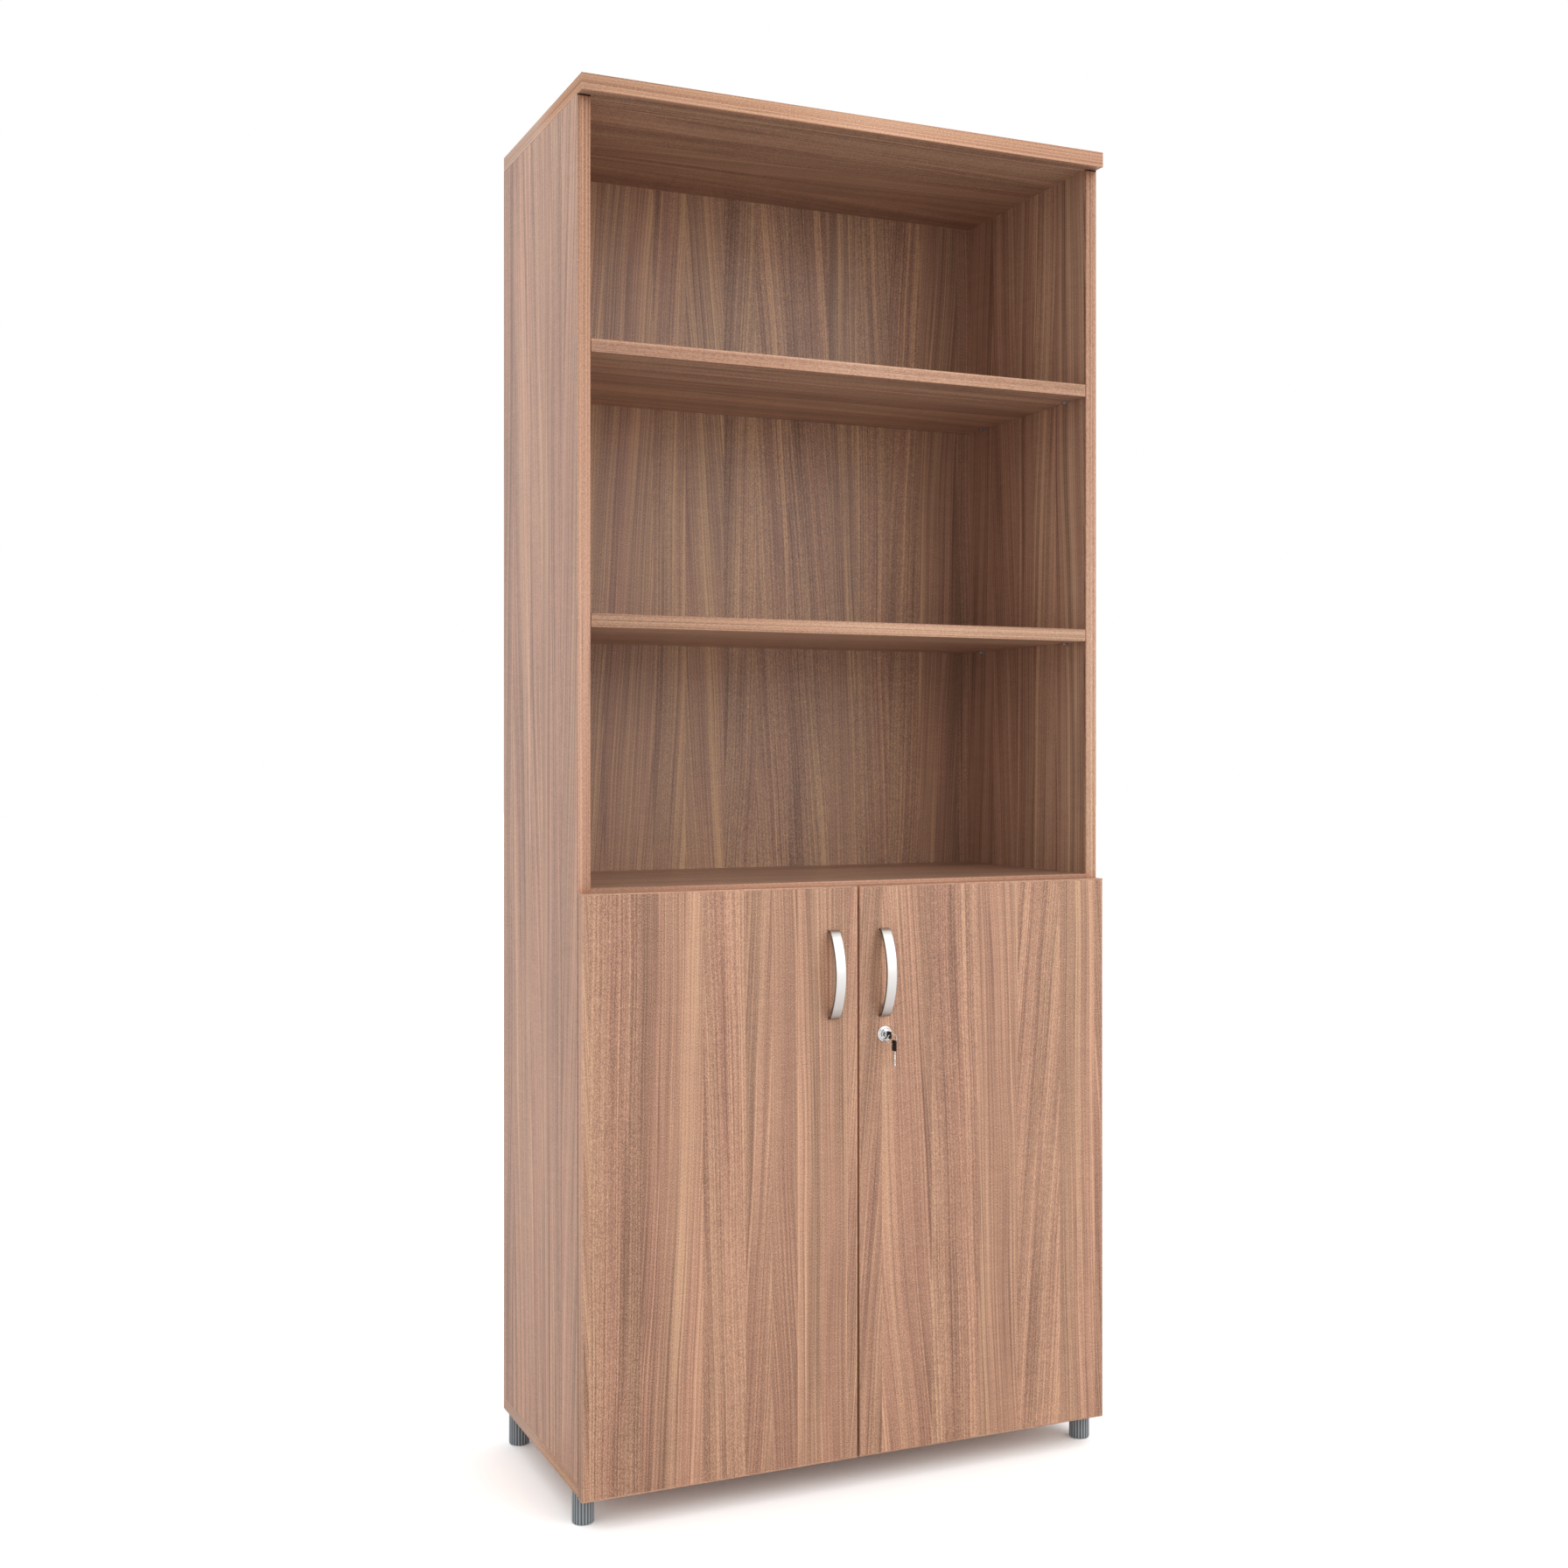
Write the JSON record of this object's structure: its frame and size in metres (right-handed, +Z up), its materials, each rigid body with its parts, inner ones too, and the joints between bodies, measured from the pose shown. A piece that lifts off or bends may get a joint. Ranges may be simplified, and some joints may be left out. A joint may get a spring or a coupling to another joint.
{
  "type": "bookcase with cabinet doors",
  "caption": "Tall walnut-effect bookcase with open shelves above a lockable hinged-door cupboard, bow handles and ribbed screw feet.",
  "frame": {"origin": "on the floor, in the middle of the whole part's width and depth, keys and handles included", "axes": "+Z up, +X to the right seen from the front, -Y out of the doors"},
  "size_m": [0.8, 0.4068, 1.9],
  "materials": {
    "walnut_board": "walnut-effect melamine on chipboard",
    "walnut_edging": "walnut-effect edging, rounded",
    "walnut_back": "walnut-effect hardboard",
    "beech": "turned, fluted beech",
    "satin_aluminium": "satin",
    "bright_chrome": "polished",
    "zinc_steel": "zinc plated",
    "nickel_steel": "nickel plated",
    "black_plastic": "moulded",
    "grey_plastic": "moulded, ribbed",
    "clear_rubber": "soft clear"
  },
  "bodies": {
    "root": {"top_panel": "walnut_board", "top_edging": "walnut_edging", "bottom_panel": "walnut_board", "bottom_edging": "walnut_edging", "left_side_panel": "walnut_board", "right_side_panel": "walnut_board", "side_edging": "walnut_edging", "back_panel": "walnut_back", "fixed_shelf": "walnut_board", "middle_shelf": "walnut_board", "upper_shelf": "walnut_board", "cupboard_shelf": "walnut_board", "shelf_edging": "walnut_edging", "shelf_pins": "zinc_steel", "carcass_dowels": "beech", "door_bumpers": "clear_rubber", "hinge_plates": "nickel_steel", "hinge_plate_screws": "zinc_steel", "hinge_arms": "nickel_steel", "hinge_arm_screws": "zinc_steel", "hinge_arm_pins": "nickel_steel", "foot_inserts": "zinc_steel"},
    "left_outer_links": {"left_outer_links": "nickel_steel"},
    "left_door": {"left_door_panel": "walnut_board", "left_door_edging": "walnut_edging", "left_door_screws": "zinc_steel", "left_handle": "satin_aluminium", "left_handle_screws": "zinc_steel", "left_hinge_cups": "nickel_steel", "left_hinge_cup_pins": "nickel_steel", "lock_strike": "zinc_steel", "bolt_case": "zinc_steel"},
    "left_inner_links": {"left_inner_links": "nickel_steel"},
    "right_outer_links": {"right_outer_links": "nickel_steel"},
    "right_door": {"right_door_panel": "walnut_board", "right_door_edging": "walnut_edging", "right_door_screws": "zinc_steel", "right_handle": "satin_aluminium", "right_handle_screws": "zinc_steel", "right_hinge_cups": "nickel_steel", "right_hinge_cup_pins": "nickel_steel", "lock_rosette": "bright_chrome", "lock_barrel": "bright_chrome", "lock_nut": "zinc_steel"},
    "right_inner_links": {"right_inner_links": "nickel_steel"},
    "lock_plug": {"lock_plug": "bright_chrome", "lock_cam": "zinc_steel", "lock_cam_screw": "zinc_steel"},
    "key": {"key_blade": "nickel_steel", "key_bow": "black_plastic"},
    "key_ring": {"key_ring": "nickel_steel"},
    "spare_key": {"spare_key_blade": "nickel_steel", "spare_key_bow": "black_plastic"},
    "slide_bolt": {"slide_bolt": "zinc_steel"},
    "front_left_foot": {"front_left_foot": "grey_plastic"},
    "front_right_foot": {"front_right_foot": "grey_plastic"},
    "back_left_foot": {"back_left_foot": "grey_plastic"},
    "back_right_foot": {"back_right_foot": "grey_plastic"}
  },
  "joints": [
    {"name": "left_outer_link_pivot", "type": "hinge", "parent": "root", "child": "left_outer_links", "pos_m": [-0.3641, -0.1353, 0], "axis": [0, 0, -1], "range_deg": [-24.25, 0]},
    {"name": "left_door_swing", "type": "hinge", "parent": "left_outer_links", "child": "left_door", "pos_m": [-0.3907, -0.1638, 0], "axis": [0, 0, -1], "range_deg": [0, 118.75]},
    {"name": "left_inner_link_pivot", "type": "hinge", "parent": "root", "child": "left_inner_links", "pos_m": [-0.374, -0.1602, 0], "axis": [0, 0, -1], "range_deg": [-40.4, 0]},
    {"name": "right_outer_link_pivot", "type": "hinge", "parent": "root", "child": "right_outer_links", "pos_m": [0.3641, -0.1353, 0], "axis": [0, 0, 1], "range_deg": [-24.25, 0]},
    {"name": "right_door_swing", "type": "hinge", "parent": "right_outer_links", "child": "right_door", "pos_m": [0.3907, -0.1638, 0], "axis": [0, 0, 1], "range_deg": [0, 118.75]},
    {"name": "right_inner_link_pivot", "type": "hinge", "parent": "root", "child": "right_inner_links", "pos_m": [0.374, -0.1602, 0], "axis": [0, 0, 1], "range_deg": [-40.4, 0]},
    {"name": "lock_turn", "type": "hinge", "parent": "right_door", "child": "lock_plug", "pos_m": [0.04, -0.1766, 0.6248], "axis": [0, 1, 0], "range_deg": [0, 90]},
    {"name": "key_pull", "type": "slide", "parent": "lock_plug", "child": "key", "axis": [0, -1, 0], "range_m": [0, 0.03]},
    {"name": "key_ring_swing", "type": "hinge", "parent": "key", "child": "key_ring", "pos_m": [0.04, -0.193, 0.6248], "axis": [-1, 0, 0], "range_deg": [-8, 50]},
    {"name": "spare_key_swing", "type": "hinge", "parent": "key_ring", "child": "spare_key", "pos_m": [0.04708, -0.193, 0.6139], "axis": [-1, 0, 0], "range_deg": [-8, 40]},
    {"name": "bolt_slide", "type": "slide", "parent": "left_door", "child": "slide_bolt", "axis": [0, 0, 1], "range_m": [0, 0.013]},
    {"name": "front_left_foot_screw", "type": "slide", "parent": "root", "child": "front_left_foot", "axis": [0, 0, -1], "range_m": [0, 0.008]},
    {"name": "front_right_foot_screw", "type": "slide", "parent": "root", "child": "front_right_foot", "axis": [0, 0, -1], "range_m": [0, 0.008]},
    {"name": "back_left_foot_screw", "type": "slide", "parent": "root", "child": "back_left_foot", "axis": [0, 0, -1], "range_m": [0, 0.008]},
    {"name": "back_right_foot_screw", "type": "slide", "parent": "root", "child": "back_right_foot", "axis": [0, 0, -1], "range_m": [0, 0.008]}
  ],
  "couplings": [
    {"joint": "left_outer_link_pivot", "follows": "left_door_swing", "ratio": -0.2},
    {"joint": "left_inner_link_pivot", "follows": "left_door_swing", "ratio": -0.336},
    {"joint": "right_outer_link_pivot", "follows": "right_door_swing", "ratio": -0.2},
    {"joint": "right_inner_link_pivot", "follows": "right_door_swing", "ratio": -0.336}
  ]
}
